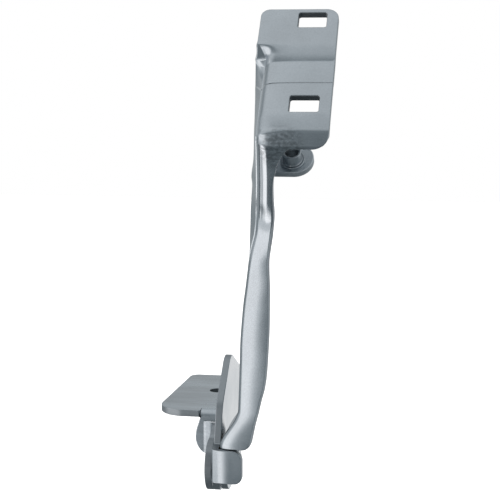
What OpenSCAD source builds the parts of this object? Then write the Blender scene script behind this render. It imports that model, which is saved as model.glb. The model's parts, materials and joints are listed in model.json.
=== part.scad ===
// Car bonnet hinge: a fixed base with a stop plate, and a cranked arm that carries the bonnet.
// Origin: centre of the base bolt hole, on the underside of the bolt flange.
// +X runs along the pivot axis, +Y runs forward, +Z is up. Drawn open, against its stop.
// Arm sizes named "rise" are heights above the pivot; "along" is measured up the bonnet plate from its nose.

/* [Sheet] */
// Sheet thickness of every stamping
sheet = 3.5; // [3:0.1:4]
// Outside radius of the bend between the arm's flange and its side wall
bend_r = 5; // [4.5:0.25:6]

/* [Base bracket] */
// Length of the bolt flange, front to back
flange_length = 74; // [68:1:80]
// Width of the bolt flange at its front
flange_width = 34.6; // [30:0.5:38]
// How much narrower the flange is at its back
flange_taper = 5; // [0:0.5:6]
// Radius of the base bolt hole
base_hole_r = 4.25; // [3.25:0.25:4.75]
// Centre of the bolt hole behind the front of the flange
hole_from_front = 41; // [32:1:44]
// Centre of the bolt hole left of the stop plate
hole_from_plate = 9; // [8:0.5:13]
// Height of the flange top above the pivot axis
flange_rise = 21.9; // [21:0.1:24]
// Distance of the leg's front face behind the pivot axis
leg_back = 17; // [16:0.5:19]
// Radius of the rounded lobe of the leg
leg_lobe_r = 10.5; // [9.8:0.1:11]

/* [Pivot] */
// Outside radius of the pivot eyes of the base bracket and the arm
eye_r = 12.2; // [11.9:0.1:12.4]
// Radius of the pin where it is pressed into the base eye and the stop plate
shank_r = 5; // [4:0.25:5.5]
// Radius of the pin where the arm turns on it
journal_r = 6; // [5.75:0.25:7]
// Running clearance on radius between the pin and the bush
run_gap = 0.04; // [0.02:0.01:0.08]
// Wall of the bush
bush_wall = 1; // [0.75:0.25:1.5]
// Thickness of the bush flange, which spaces the arm from the stop plate
bush_flange = 0.5; // [0.4:0.1:1]
// Radius of the bush flange
bush_flange_r = 9.5; // [9:0.25:10.5]
// End play between the turning faces
end_gap = 0.05; // [0.02:0.01:0.1]
// Thickness of the thrust washer
washer_t = 1.5; // [1:0.25:2]
// Radius of the thrust washer
washer_r = 9; // [8.5:0.25:10]
// Radius of the head of the pin
head_r = 8.5; // [8:0.25:10]
// Height of the head of the pin
head_h = 3; // [2:0.25:3.5]

/* [Stop plate] */
// Height of the top of the fin above the pivot axis
fin_rise = 48.3; // [44:0.5:50]
// Reach of the fin behind the pivot axis
fin_back = 62; // [58:1:68]
// Width of the stop tab, measured from the left face of the stop plate
tab_width = 15.7; // [14.5:0.1:17]
// Height of the stop tab
tab_height = 16.6; // [14:0.2:17]
// Clearance between the foot of the arm and the top of the tab
stop_gap = 0.3; // [0.2:0.1:0.5]
// Clearance between the back of the tab and the arm's eye
tab_gap = 0.4; // [0.3:0.1:1]
// Length of the weld that holds the stop plate
weld_length = 18; // [10:1:20]
// Leg of the weld
weld_leg = 2.6; // [2:0.2:3]

/* [Arm] */
// Height of the foot of the arm's flange above the pivot axis
foot_rise = 12; // [11.5:0.1:12.5]
// Backward lean of the lower arm, in degrees from upright
lower_lean = 13.5; // [10:0.5:16]
// Backward lean of the middle of the arm
middle_lean = 5.8; // [3:0.5:8]
// Forward lean of the overhang below the nose
overhang_lean = 38.5; // [36:0.5:41]
// Backward lean of the bonnet plate
plate_lean = 44; // [42:0.5:46]
// Sideways step of the arm's side wall just above the pivot
crank = 8.1; // [7.5:0.1:8.7]
// Length of the bonnet plate above the nose
plate_length = 73.7; // [72:0.1:76]
// Right edge of the bonnet plate, from the left face of the stop plate
plate_right = 57.8; // [56:0.1:59]
// Width of the bonnet plate above its side wall
plate_width = 37.6; // [36:0.5:39]
// Length of the two slots, across the plate
slot_length = 13.6; // [12:0.2:14]
// Width of the two slots, up the plate
slot_width = 9.5; // [8.5:0.25:10.5]
// Distance between the slot centres, up the plate
slot_spacing = 53; // [51:0.2:55]
// Centre of the lower slot above the nose
slot_along = 13.2; // [12:0.2:15]
// Centre of the slots in from the right edge of the plate
slot_in = 12.4; // [10:0.2:14]
// Inside radius of the slot corners
slot_corner = 0.8; // [0.4:0.1:1.5]
// Step of the upper pad above the lower pad
pad_step = 0.8; // [0.6:0.1:1.4]

/* [Ear and weld nut] */
// Width of the ear
ear_width = 18.5; // [17:0.5:19]
// Right end of the ear, from the left face of the stop plate
ear_right = 47.3; // [46:0.1:49]
// Distance of the ear's upper face below the bonnet plate
ear_depth = 38.4; // [37:0.1:39]
// Lower edge of the ear, up the plate from the nose
ear_start = 3.8; // [3:0.1:4.5]
// Centre of the nut in from the right end of the ear
nut_in = 10; // [9.5:0.1:11]
// Centre of the nut above the lower edge of the ear
nut_up = 7.3; // [7:0.1:9]
// Radius of the nut's collar
collar_r = 5.9; // [5.4:0.1:6.3]
// Thickness of the nut's collar
collar_t = 1.5; // [1:0.1:2]
// Radius of the nut's barrel
barrel_r = 4.55; // [4.4:0.05:5]
// Height of the nut above the ear
nut_height = 7.3; // [6.5:0.1:8]
// Radius of the threaded hole
thread_r = 3.0; // [2.5:0.25:3.25]

/* [Hidden] */
$fn = 64;
zinc = [0.62, 0.66, 0.70];

// Faces of the stack along the pivot axis, measured from the left face of the stop plate
plate_x = sheet;
arm_x = plate_x + bush_flange + end_gap;
washer_x = arm_x + sheet + end_gap;
head_x = washer_x + washer_t;
bush_r = journal_r + run_gap;
bush_out_r = bush_r + bush_wall;

// Pivot axis in the part's frame
pivot = [hole_from_plate, -(leg_back + hole_from_front), sheet - flange_rise];

// A closed outline with its corners rounded: each corner is [x, y, radius]
function unit(v) = v / norm(v);
function corner(a, b, c, steps) =
    let (p = [b[0], b[1]], u = unit([a[0], a[1]] - p), w = unit([c[0], c[1]] - p),
         half = acos(u * w) / 2, cut = b[2] / tan(half), m = unit(u + w),
         o = p + m * (b[2] / sin(half)), s = p + u * cut - o, e = p + w * cut - o,
         turn = acos(max(-1, min(1, unit(s) * unit(e)))), side = sign(s[0] * e[1] - s[1] * e[0]))
    b[2] <= 0 ? [p] : [for (i = [0:steps]) let (g = side * turn * i / steps)
        o + [s[0] * cos(g) - s[1] * sin(g), s[0] * sin(g) + s[1] * cos(g)]];
function rounded(c, steps = 8) =
    [for (i = [0:len(c) - 1]) each corner(c[(i + len(c) - 1) % len(c)], c[i], c[(i + 1) % len(c)], steps)];

// An outline drawn in Y and Z, given thickness along X from x0
module upright(x0, t) {
    translate([x0, 0, 0]) rotate([90, 0, 90]) linear_extrude(height = t) children();
}

// A round hole along the pivot axis
module hole_x(r, x0, x1) {
    translate([x0, 0, 0]) rotate([0, 90, 0]) cylinder(r = r, h = x1 - x0);
}

module at_pivot() {
    translate(pivot) children();
}

module base_bracket() {
    eye_x = -sheet;
    bend_in = 6;
    lobe = [-3, 8];
    leg_side = -11;
    color(zinc) at_pivot() difference() {
        union() {
            // bolt flange
            translate([0, leg_back, flange_rise - sheet]) linear_extrude(height = sheet)
                polygon(rounded([[0, bend_r, 0], [leg_side, bend_r, 0], [leg_side, 0.3, 0],
                                 [-flange_width, 0.3, 13], [-flange_width + flange_taper, flange_length, 5],
                                 [0, flange_length, 2]]));
            // bend from the flange down into the leg
            intersection() {
                translate([leg_side, leg_back + bend_r, flange_rise - bend_r]) rotate([0, 90, 0]) difference() {
                    cylinder(r = bend_r, h = -leg_side);
                    translate([0, 0, -1]) cylinder(r = bend_r - sheet, h = 2 - leg_side);
                }
                translate([leg_side, leg_back - 1, flange_rise - bend_r]) cube([-leg_side, bend_r + 1, bend_r + 1]);
            }
            // leg
            translate([0, leg_back + sheet, 0]) rotate([90, 0, 0]) linear_extrude(height = sheet) union() {
                intersection() {
                    translate(lobe) circle(r = leg_lobe_r);
                    translate([-20, -10]) square([20 + eye_x + sheet - bend_in - sheet, 30]);
                }
                polygon([[eye_x - bend_in, lobe[1] - 7], [eye_x - bend_in, flange_rise - bend_r],
                         [leg_side, flange_rise - bend_r], [leg_side, flange_rise - bend_r - 0.6],
                         [leg_side - 0.8, flange_rise - bend_r - 0.6], [lobe[0] - leg_lobe_r + 0.55, lobe[1] + 5],
                         [lobe[0] - leg_lobe_r + 0.1, lobe[1] + 1.4]]);
                translate([eye_x - bend_in - 0.01, flange_rise - bend_r - 3])
                    square([bend_in - eye_x, 3]);
            }
            // bend from the leg forward into the eye
            intersection() {
                translate([eye_x - bend_in, leg_back - bend_in, -0.4]) difference() {
                    cylinder(r = bend_in + sheet, h = flange_rise - bend_r + 0.4);
                    translate([0, 0, -1]) cylinder(r = bend_in, h = flange_rise);
                }
                translate([eye_x - bend_in, leg_back - bend_in, -10]) cube([20, 20, 40]);
            }
            // eye and the plate behind it
            upright(eye_x, sheet) union() {
                circle(r = eye_r + 0.5);
                polygon([[0, eye_r], [leg_back - bend_in, flange_rise - bend_r],
                         [leg_back - bend_in, -0.4], [4.2, -eye_r * 0.936], [0, -eye_r * 0.5]]);
            }
        }
        // pivot hole with a countersink for the closed end of the pin
        hole_x(shank_r, eye_x - 1, 1);
        translate([eye_x, 0, 0]) rotate([0, 90, 0]) cylinder(r1 = shank_r + 1.2, r2 = shank_r, h = 1.2);
        // bolt hole
        translate([-hole_from_plate, leg_back + hole_from_front, flange_rise - sheet - 1])
            cylinder(r = base_hole_r, h = sheet + 2);
    }
}

// Front face of the stop tab and of the foot of the arm, ahead of the pivot axis
tab_back_y = -(eye_r + tab_gap);
tab_front_y = tab_back_y - sheet;
tab_top = foot_rise - stop_gap;
tab_bend = sheet + 1;
stop_eye_r = eye_r + 0.5;

module stop_plate() {
    near = tab_front_y + tab_bend;
    color(zinc) at_pivot() difference() {
        union() {
            upright(0, sheet) union() {
                circle(r = stop_eye_r);
                polygon(rounded([[near, tab_top - tab_height, 0], [near, tab_top, 0], [-5.2, tab_top, 1.5],
                                 [1.5, fin_rise - 18.5, 14], [27.5, fin_rise + 2.2, 11],
                                 [fin_back, fin_rise - 14, 9], [fin_back - 4, 16, 9], [14, -9, 12],
                                 [4, -stop_eye_r * 0.94, 0]]));
            }
            // bend into the tab
            intersection() {
                translate([tab_bend, near, tab_top - tab_height]) difference() {
                    cylinder(r = tab_bend, h = tab_height);
                    translate([0, 0, -1]) cylinder(r = tab_bend - sheet, h = tab_height + 2);
                }
                translate([0, near - tab_bend - 1, tab_top - tab_height])
                    cube([tab_bend, tab_bend + 1, tab_height]);
            }
            // tab
            translate([0, tab_front_y + sheet, 0]) rotate([90, 0, 0]) linear_extrude(height = sheet)
                polygon(rounded([[tab_bend, tab_top - tab_height, 0], [tab_width, tab_top - tab_height, 4],
                                 [tab_width, tab_top, 5], [tab_bend, tab_top, 0]]));
        }
        hole_x(shank_r, -1, sheet + 1);
    }
}

module plate_weld() {
    color(zinc) at_pivot() translate([0, leg_back + 8, flange_rise]) rotate([-90, 0, 0])
        linear_extrude(height = weld_length) polygon([[0, 0], [-weld_leg, 0], [-0.38 * weld_leg, -0.38 * weld_leg],
                                                      [0, -weld_leg]]);
}

module pivot_pin() {
    color(zinc) at_pivot() difference() {
        union() {
            hole_x(shank_r, -sheet, plate_x);
            translate([-sheet, 0, 0]) rotate([0, 90, 0]) cylinder(r1 = shank_r + 1.2, r2 = shank_r, h = 1.2);
            hole_x(journal_r, plate_x, head_x);
            hole_x(head_r, head_x, head_x + head_h - 1);
            translate([head_x + head_h - 1, 0, 0]) rotate([0, 90, 0]) cylinder(r1 = head_r, r2 = head_r - 1, h = 1);
        }
    }
}

module pivot_bush() {
    color([0.42, 0.40, 0.36]) at_pivot() difference() {
        union() {
            hole_x(bush_flange_r, arm_x - bush_flange, arm_x);
            hole_x(bush_out_r, arm_x - bush_flange, arm_x + sheet);
        }
        hole_x(bush_r, arm_x - 2, arm_x + sheet + 1);
    }
}

module thrust_washer() {
    color(zinc) at_pivot() difference() {
        hole_x(washer_r, washer_x, head_x);
        hole_x(bush_r, washer_x - 1, head_x + 1);
    }
}

// Front line of the arm's flange in Y and Z, as [y, z, lean] points: straights joined by arcs
function step_up(p, lean, d) = p + d * [sin(lean), cos(lean)];
foot = [tab_front_y + 0.9, foot_rise];
knee = step_up(foot, lower_lean, 47.3);
elbow = step_up(knee, middle_lean, 59.3);
nose = step_up(elbow, -overhang_lean, 60.7);
nose_r = 8;
nose_cut = nose_r * tan((overhang_lean + plate_lean) / 2);
plate_end = step_up(nose, plate_lean, plate_length + nose_cut);
function arc(p, a0, a1, r, steps) =
    let (cut = r * tan(abs(a1 - a0) / 2), s = step_up(p, a0, -cut), g = a1 > a0 ? 1 : -1,
         o = s + g * r * [cos(a0), -sin(a0)])
    [for (i = [0:steps]) let (a = a0 + (a1 - a0) * i / steps) concat(o - g * r * [cos(a), -sin(a)], a)];
front = concat([[foot[0], foot[1] - 14, 0]], arc(foot, 0, lower_lean, 40, 5),
               arc(knee, lower_lean, middle_lean, 120, 5), arc(elbow, middle_lean, -overhang_lean, 14, 9),
               arc(nose, -overhang_lean, plate_lean, nose_r, 14), [concat(plate_end, plate_lean)]);
front_y = [for (p = front) [p[1], p[0]]];
front_a = [for (p = front) [p[1], p[2]]];
z_nose = nose[1] + nose_cut * cos(plate_lean);
function along(s) = z_nose + s * cos(plate_lean);

// Smooth curve through [height, value] stations, with level tangents worked out from the neighbours
function slope(t, i) = i <= 0 || i >= len(t) - 1 ? 0 :
    let (a = (t[i][1] - t[i - 1][1]) / (t[i][0] - t[i - 1][0]), b = (t[i + 1][1] - t[i][1]) / (t[i + 1][0] - t[i][0]))
    a * b <= 0 ? 0 : 2 * a * b / (a + b);
function find(t, z, i = 0) = i >= len(t) - 2 || z < t[i + 1][0] ? i : find(t, z, i + 1);
function curve(t, z) = z <= t[0][0] ? t[0][1] : z >= t[len(t) - 1][0] ? t[len(t) - 1][1] :
    let (i = find(t, z), h = t[i + 1][0] - t[i][0], u = (z - t[i][0]) / h, m0 = slope(t, i), m1 = slope(t, i + 1))
    (2 * u * u * u - 3 * u * u + 1) * t[i][1] + (u * u * u - 2 * u * u + u) * h * m0
    + (3 * u * u - 2 * u * u * u) * t[i + 1][1] + (u * u * u - u * u) * h * m1;

// Left side of the arm where its side wall meets the bend, at heights above the pivot
wall_low = arm_x + crank;
wall_at = [[0, arm_x], [13, arm_x], [31, wall_low + 0.2], [45, wall_low + 0.15], [60, wall_low],
           [74, wall_low + 0.7], [82.5, wall_low + 1.4], [88, wall_low + 2.1], [97, wall_low + 3.1],
           [107, wall_low + 4.6], [117, wall_low + 6.8], [133, wall_low + 9.3], [148, wall_low + 11],
           [163, wall_low + 12.3], [196, wall_low + 12.3]];
// Free right edge of the arm's flange
edge_at = [[0, arm_x + 11], [foot_rise, arm_x + 11], [foot_rise + 0.4, arm_x + 12.6],
           [foot_rise + 1.2, arm_x + 14.4], [foot_rise + 2.5, arm_x + 15.3], [foot_rise + 4, arm_x + 15.9],
           [foot_rise + 6.8, arm_x + 16.45], [24.5, arm_x + 17.45], [30.2, arm_x + 18.75], [36, arm_x + 20],
           [41.6, arm_x + 21.4], [47.3, arm_x + 22.15], [55.8, arm_x + 22.55], [73, arm_x + 23],
           [88, arm_x + 22.8], [97.5, arm_x + 22.3], [102, arm_x + 22.2], [107, arm_x + 22.45],
           [117, arm_x + 23.4], [122, arm_x + 24.3], [127.7, arm_x + 25], [133, arm_x + 25.4],
           [138, arm_x + 25.9], [143, arm_x + 26.8], [149, arm_x + 28.7], [153.5, arm_x + 31],
           [157, arm_x + 34]];
z_edge = nose[1] - nose_cut * cos(overhang_lean) - 0.75;
z_top = plate_end[1];
round_r = 4;
top_r = 6;
function free_edge(z) = z < z_edge - 0.1 ? curve(edge_at, z) :
    z < z_edge + round_r * 0.8 ? plate_right - round_r + sqrt(max(0, pow(round_r, 2) - pow(round_r - max(0, z - z_edge) * 1.25, 2))) :
    z > z_top - top_r * 0.72 ? plate_right - top_r + sqrt(max(0, pow(top_r, 2) - pow(top_r - (z_top - z) / 0.72, 2))) :
    plate_right;
// Far edge of the side wall: height of the station, then y, z and x of the edge
far_y = [[0, 12], [14, 13], [40, 15.5], [70, 17.5], [100, 18], [117, 17], [125, 14.5], [133, 8.5], [139, 1.8],
         [148, 7.4], [157, 13.7], [163, 14.2], [170, 13], [180, 10], [190, 6.6], [200, 4.6]];
far_z = [[0, 0], [14, 13.5], [40, 40], [70, 70], [100, 100], [117, 118], [125, 128], [133, 138], [139, 143.6],
         [148, 149.7], [157, 156], [163, 160.5], [170, 167], [180, 177], [190, 188], [200, 198.4]];
far_x = [[0, arm_x], [13, arm_x], [31, wall_low + 0.2], [60, wall_low], [75, wall_low + 0.6],
         [90, wall_low + 1.4], [100, wall_low + 2.05], [111, wall_low + 2.4], [122, wall_low + 2.95],
         [139, wall_low + 5.5], [148, wall_low + 5.5], [157, wall_low + 4.95], [163, wall_low + 4.95],
         [175, wall_low + 5.65], [185, wall_low + 6.35], [200, wall_low + 6.9]];
plate_left = plate_right - plate_width;
z_wall0 = along(41);
z_wall1 = along(50);
// 1 where the arm has a side wall, 0 above it where the plate is flat
function wall_on(z) = 1 - curve([[z_wall0, 0], [z_wall1, 1]], z);
// Height of the pads above the lower pad of the plate, with s measured up the plate
function pad(s) = curve([[0, 0], [26, 0], [27.6, -0.6], [40.8, -0.6], [48, pad_step], [60, pad_step]], s);

levels = concat([for (z = [-1:4:11]) z], [for (z = [12:0.4:13.6]) z], [for (z = [14.5:1.8:34]) z],
                [for (z = [37:6:109]) z], [for (z = [111:1.5:124]) z], [for (z = [126:3:156]) z],
                [z_edge - 0.6, z_edge - 0.12, z_edge, z_edge + 0.12, z_edge + 0.5, z_edge + 1.2, z_edge + 2.2],
                [for (i = [0:11]) z_edge + 3.2 + i * (z_nose - z_edge - 3.2) / 11],
                [for (s = [4:5:24]) along(s)], [for (s = [26, 26.8, 27.6, 31, 35, 38, 40.8]) along(s)],
                [for (s = [42.5:1.5:50]) along(s)], [for (s = [54:5:64]) along(s)],
                [for (d = [6, 4.5, 3, 2.1, 1.3, 0.7, 0.3, 0.08, 0]) z_top - d * 0.72]);

steps = 5;
// One cross-section of the arm: the outer chain from the free edge to the wall's edge, then the inner chain back
function section(z) =
    let (lean = lookup(z, front_a), inward = [cos(lean), -sin(lean)],
         s = (z - z_nose) / cos(plate_lean), lift = s > 0 ? pad(s) : 0,
         p = [lookup(z, front_y), z] - lift * inward,
         on = wall_on(z), xe = free_edge(z), xw = curve(wall_at, z),
         top_cut = z > z_top - 4.5 * 0.72 ? 4.5 - sqrt(max(0, pow(4.5, 2) - pow(4.5 - (z_top - z) / 0.72, 2))) : 0,
         xl = plate_left + top_cut,
         slant = 1 / cos(atan((curve(wall_at, z + 0.5) - curve(wall_at, z - 0.5)) * cos(lean))),
         tx = sheet * min(slant, 1.3), ri = bend_r - sheet,
         far = [curve(far_y, z), curve(far_z, z)], xf = curve(far_x, z),
         a0 = p + bend_r * inward)
    let (outer = concat([[xe, p]], [for (i = [0:steps]) let (g = 90 * i / steps)
             [xw + bend_r - bend_r * sin(g), p + bend_r * (1 - cos(g)) * inward]], [[xf, far]]),
         inner = concat([[xe, p + sheet * inward]], [for (i = [0:steps]) let (g = 90 * i / steps)
             [xw + bend_r - (bend_r - tx) * sin(g), p + (bend_r - ri * cos(g)) * inward]], [[xf + tx, far]]),
         n = len(outer))
    concat([for (i = [0:n - 1]) let (q = outer[i], flat = [xe + (xl - xe) * i / (n - 1), p],
                m = on * [q[0], q[1][0], q[1][1]] + (1 - on) * [flat[0], flat[1][0], flat[1][1]]) m],
           [for (i = [n - 1:-1:0]) let (q = inner[i], flat = [xe + (xl - xe) * i / (n - 1), p + sheet * inward],
                m = on * [q[0], q[1][0], q[1][1]] + (1 - on) * [flat[0], flat[1][0], flat[1][1]]) m]);

module arm_shell() {
    loops = [for (z = levels) section(z)];
    n = len(loops[0]);
    half = n / 2;
    rows = len(loops);
    polyhedron(points = [for (l = loops) each l], faces = concat(
        [for (r = [0:rows - 2], i = [0:n - 1]) let (j = (i + 1) % n) each
            [[r * n + i, r * n + j, (r + 1) * n + j], [r * n + i, (r + 1) * n + j, (r + 1) * n + i]]],
        [for (i = [0:half - 2]) each [[i, n - 1 - i, i + 1], [i + 1, n - 1 - i, n - 2 - i]]],
        [for (i = [0:half - 2]) let (b = (rows - 1) * n) each
            [[b + i, b + i + 1, b + n - 1 - i], [b + i + 1, b + n - 2 - i, b + n - 1 - i]]]));
}

// Frame of the bonnet plate: origin on the nose line, X across, Y up the plate, Z out of it
module on_plate() {
    translate([0, nose[0] + nose_cut * sin(plate_lean), z_nose]) rotate([90 - plate_lean, 0, 0]) children();
}

module slot_tool(y0) {
    translate([plate_right - slot_in, y0, -sheet - 6]) linear_extrude(height = sheet + 12)
        polygon(rounded([[-slot_length / 2, -slot_width / 2, slot_corner], [slot_length / 2, -slot_width / 2, slot_corner],
                         [slot_length / 2, slot_width / 2, slot_corner], [-slot_length / 2, slot_width / 2, slot_corner]], 4));
}

nut_x = ear_right - nut_in;
nut_y = ear_start + nut_up;

module hinge_arm() {
    color(zinc) at_pivot() difference() {
        union() {
            difference() {
                arm_shell();
                // below the foot only the side wall goes on, to the pivot
                translate([arm_x - 10, -40, -20]) cube([60, 40 - eye_r, 20 + foot_rise]);
                translate([arm_x + sheet, -40, -20]) cube([60, 80, 20 + foot_rise]);
                translate([arm_x - 10, -40, -20]) cube([60, 80, 20]);
            }
            hole_x(eye_r, arm_x, arm_x + sheet);
            // ear
            on_plate() translate([0, 0, -ear_depth - sheet]) linear_extrude(height = sheet) union() {
                translate([ear_right - ear_width / 2, ear_start + ear_width / 2]) circle(r = ear_width / 2);
                translate([wall_low + 7.6, ear_start]) square([ear_right - ear_width / 2 - wall_low - 7.6, ear_width]);
            }
        }
        hole_x(bush_out_r, arm_x - 1, arm_x + sheet + 1);
        on_plate() slot_tool(slot_along);
        on_plate() slot_tool(slot_along + slot_spacing);
        on_plate() translate([nut_x, nut_y, -ear_depth - sheet - 1]) cylinder(r = thread_r + 0.4, h = sheet + 2);
    }
}

module weld_nut() {
    color(zinc) at_pivot() on_plate() translate([nut_x, nut_y, -ear_depth]) difference() {
        union() {
            cylinder(r = collar_r, h = collar_t);
            cylinder(r = barrel_r, h = nut_height);
        }
        translate([0, 0, -1]) cylinder(r = thread_r, h = nut_height + 2);
        translate([0, 0, nut_height - 0.8]) cylinder(r1 = thread_r, r2 = thread_r + 0.8, h = 0.81);
    }
}

base_bracket();
stop_plate();
plate_weld();
pivot_pin();
pivot_bush();
thrust_washer();
hinge_arm();
weld_nut();
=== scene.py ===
"""Looks of the car bonnet hinge: zinc-plated stampings on a riveted pin, shown in a plain studio.

Lengths inside the shape functions are in millimetres from the pivot; the meshes are in metres in the part's frame.
"""
import json
import math

import bpy
import numpy as np
from mathutils import Matrix, Vector
from mathutils.geometry import delaunay_2d_cdt


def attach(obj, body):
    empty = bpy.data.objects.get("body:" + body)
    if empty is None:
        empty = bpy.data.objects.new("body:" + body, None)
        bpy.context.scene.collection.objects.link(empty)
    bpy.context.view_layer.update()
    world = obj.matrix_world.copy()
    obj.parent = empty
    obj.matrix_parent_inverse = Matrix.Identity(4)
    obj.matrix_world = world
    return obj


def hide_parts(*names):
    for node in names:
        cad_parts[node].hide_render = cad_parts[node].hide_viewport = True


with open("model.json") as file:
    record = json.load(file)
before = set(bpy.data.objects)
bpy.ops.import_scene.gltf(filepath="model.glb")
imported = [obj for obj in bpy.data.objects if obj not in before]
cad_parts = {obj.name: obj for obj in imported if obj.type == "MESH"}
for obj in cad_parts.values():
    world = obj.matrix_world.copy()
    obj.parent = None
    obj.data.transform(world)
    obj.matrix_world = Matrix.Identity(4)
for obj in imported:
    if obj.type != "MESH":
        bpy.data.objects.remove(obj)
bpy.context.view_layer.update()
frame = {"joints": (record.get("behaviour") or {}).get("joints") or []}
PIVOT = np.array(frame["joints"][0]["pos_m"]) * 1000.0

SHEET = 3.5                             # thickness of every stamping
BEND_R = 5.0                            # outer radius of the arm's front bend and of the bracket's flange bend
BEND_LEN = BEND_R * math.pi / 2
LEG_BACK = 17.0                         # y of the leg's outer face
FLANGE_TOP = 21.9                       # z of the bolt flange's upper face
EYE_R = 12.2                            # radius of the arm's pivot eye
PLATE_EYE_R = EYE_R + 0.5               # radius of the eyes of the bracket and the stop plate
PIN_R = 5.0                             # radius of the pin and of the holes in bracket and stop plate
BUSH_IN, BUSH_OUT = 6.04, 7.04          # radii of the bush
TAB_FRONT = -(EYE_R + 0.4) - SHEET      # y of the stop tab's front face
ARM_X = 4.05                            # x of the arm's left face at the pivot
WASHER_X, WASHER_T = ARM_X + SHEET + 0.05, 1.5
WALL_LOW = ARM_X + 8.1                  # x of the side wall of the lower arm
PLATE_RIGHT = 57.8                      # x of the bonnet plate's right edge
PLATE_LEFT = PLATE_RIGHT - 37.6
PLATE_TOP = 73.7                        # length of the bonnet plate from the nose line
SLOT_X, SLOT_HALF_X, SLOT_HALF_S = PLATE_RIGHT - 12.4, 6.8, 4.75
SLOT_S = (13.2, 66.2)                   # centres of the slots up the plate
EAR_DEPTH = 38.4                        # from the plate's outer face to the ear's upper face
NUT_X, NUT_S = 37.3, 11.1               # centre of the weld nut across and up the plate
LEG_BEND = 6.0                          # inner radius of the bend between leg and base eye
STEP = 0.02                             # spacing of the summed section curves
CHUNK = 4000                            # points handled at once by the tests against an outline



# ---------------------------------------------------------------- meshes

def put(name, co, faces, normals=None, cut=None):
    """A mesh object from pivot coordinates in mm; normals and cut, where given, are one a vertex.
    cut is 1 on sheared edges, 2 in pierced holes and 0 on rolled faces."""
    me = bpy.data.meshes.new(name)
    me.from_pydata(((np.asarray(co) + PIVOT) * 0.001).tolist(), [], [list(map(int, f)) for f in faces])
    me.validate()
    me.polygons.foreach_set("use_smooth", np.ones(len(me.polygons), bool))
    if normals is not None:
        n = np.asarray(normals, float)
        n = n / np.maximum(np.linalg.norm(n, axis=1, keepdims=True), 1e-9)
        me.normals_split_custom_set_from_vertices(n.tolist())
    kind = me.attributes.new("cut", "FLOAT", "POINT")
    kind.data.foreach_set("value", np.zeros(len(me.vertices)) if cut is None else np.asarray(cut, float))
    me.update()
    ob = bpy.data.objects.new(name, me)
    bpy.context.scene.collection.objects.link(ob)
    return ob


def grid_faces(rows, cols, wrap=False, start=0):
    """Quads of a rows by cols grid of vertices, row after row; wrap joins the last column to the first."""
    r, c = np.meshgrid(np.arange(rows - 1), np.arange(cols if wrap else cols - 1), indexing="ij")
    n = (c + 1) % cols
    q = np.stack([r * cols + c, r * cols + n, (r + 1) * cols + n, (r + 1) * cols + c], -1)
    return (q.reshape(-1, 4) + start).tolist()


def arc_points(cx, cy, r, a0, a1, step=0.4):
    """Points on a circle from angle a0 to a1 in degrees."""
    n = max(3, int(abs(math.radians(a1 - a0)) * r / step) + 1)
    g = np.radians(np.linspace(a0, a1, n))
    return np.stack([cx + r * np.cos(g), cy + r * np.sin(g)], -1)


def rounded(corners, step=0.35):
    """A closed outline whose corners [x, y, radius] are replaced by arcs tangent to both sides."""
    c = np.array(corners, float)
    out = []
    for a, b, d in zip(np.roll(c, 1, 0), c, np.roll(c, -1, 0)):
        if b[2] <= 0:
            out.append(b[None, :2])
            continue
        u, w = a[:2] - b[:2], d[:2] - b[:2]
        u, w = u / np.linalg.norm(u), w / np.linalg.norm(w)
        half = math.acos(np.clip(u @ w, -1, 1)) / 2
        if half > math.pi / 2 - 0.02:
            out.append(b[None, :2])
            continue
        m = (u + w) / np.linalg.norm(u + w)
        o = b[:2] + m * b[2] / math.sin(half)
        s, e = b[:2] + u * b[2] / math.tan(half) - o, b[:2] + w * b[2] / math.tan(half) - o
        turn = math.acos(np.clip(s @ e / b[2] ** 2, -1, 1)) * np.sign(s[0] * e[1] - s[1] * e[0])
        n = max(4, int(abs(turn) * b[2] / step) + 2, int(abs(turn) / 0.2) + 2)
        g = np.linspace(0, turn, n)
        out.append(o + np.stack([s[0] * np.cos(g) - s[1] * np.sin(g), s[0] * np.sin(g) + s[1] * np.cos(g)], -1))
    return np.concatenate(out)


def spaced(loop, step=1.0):
    """The same closed outline with points added on its long sides, and doubled points taken out."""
    nxt = np.roll(loop, -1, 0)
    keep = np.linalg.norm(nxt - loop, axis=1) > 0.04
    loop = loop[keep]
    nxt = np.roll(loop, -1, 0)
    n = np.maximum(1, np.ceil(np.linalg.norm(nxt - loop, axis=1) / step).astype(int))
    at = np.repeat(np.arange(len(loop)), n)
    k = np.arange(len(at)) - np.repeat(np.cumsum(n) - n, n)
    t = (k / n[at])[:, None]
    return loop[at] * (1 - t) + nxt[at] * t


def turned(loop, left=True):
    """The outline running anticlockwise if left, else clockwise."""
    n = np.roll(loop, -1, 0)
    area = np.sum(loop[:, 0] * n[:, 1] - n[:, 0] * loop[:, 1])
    return loop if (area > 0) == left else loop[::-1]


def outward(loop):
    """At each point of an outline, the unit direction that leaves the sheet."""
    a, b = loop - np.roll(loop, 1, 0), np.roll(loop, -1, 0) - loop
    t = a / np.linalg.norm(a, axis=1, keepdims=True) + b / np.linalg.norm(b, axis=1, keepdims=True)
    t /= np.maximum(np.linalg.norm(t, axis=1, keepdims=True), 1e-9)
    return np.stack([t[:, 1], -t[:, 0]], -1)


def inside(p, loop):
    """Even-odd test of points p against a closed outline."""
    a, b = loop, np.roll(loop, -1, 0)
    hit = np.zeros(len(p), bool)
    for k in range(0, len(p), CHUNK):
        q = p[k:k + CHUNK, None, :]
        c = (a[None, :, 1] > q[..., 1]) != (b[None, :, 1] > q[..., 1])
        with np.errstate(divide="ignore", invalid="ignore"):
            part = (q[..., 1] - a[None, :, 1]) / (b[None, :, 1] - a[None, :, 1])
            x = a[None, :, 0] + part * (b - a)[None, :, 0]
        hit[k:k + CHUNK] = np.sum(c & (q[..., 0] < x), 1) % 2 == 1
    return hit


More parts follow.
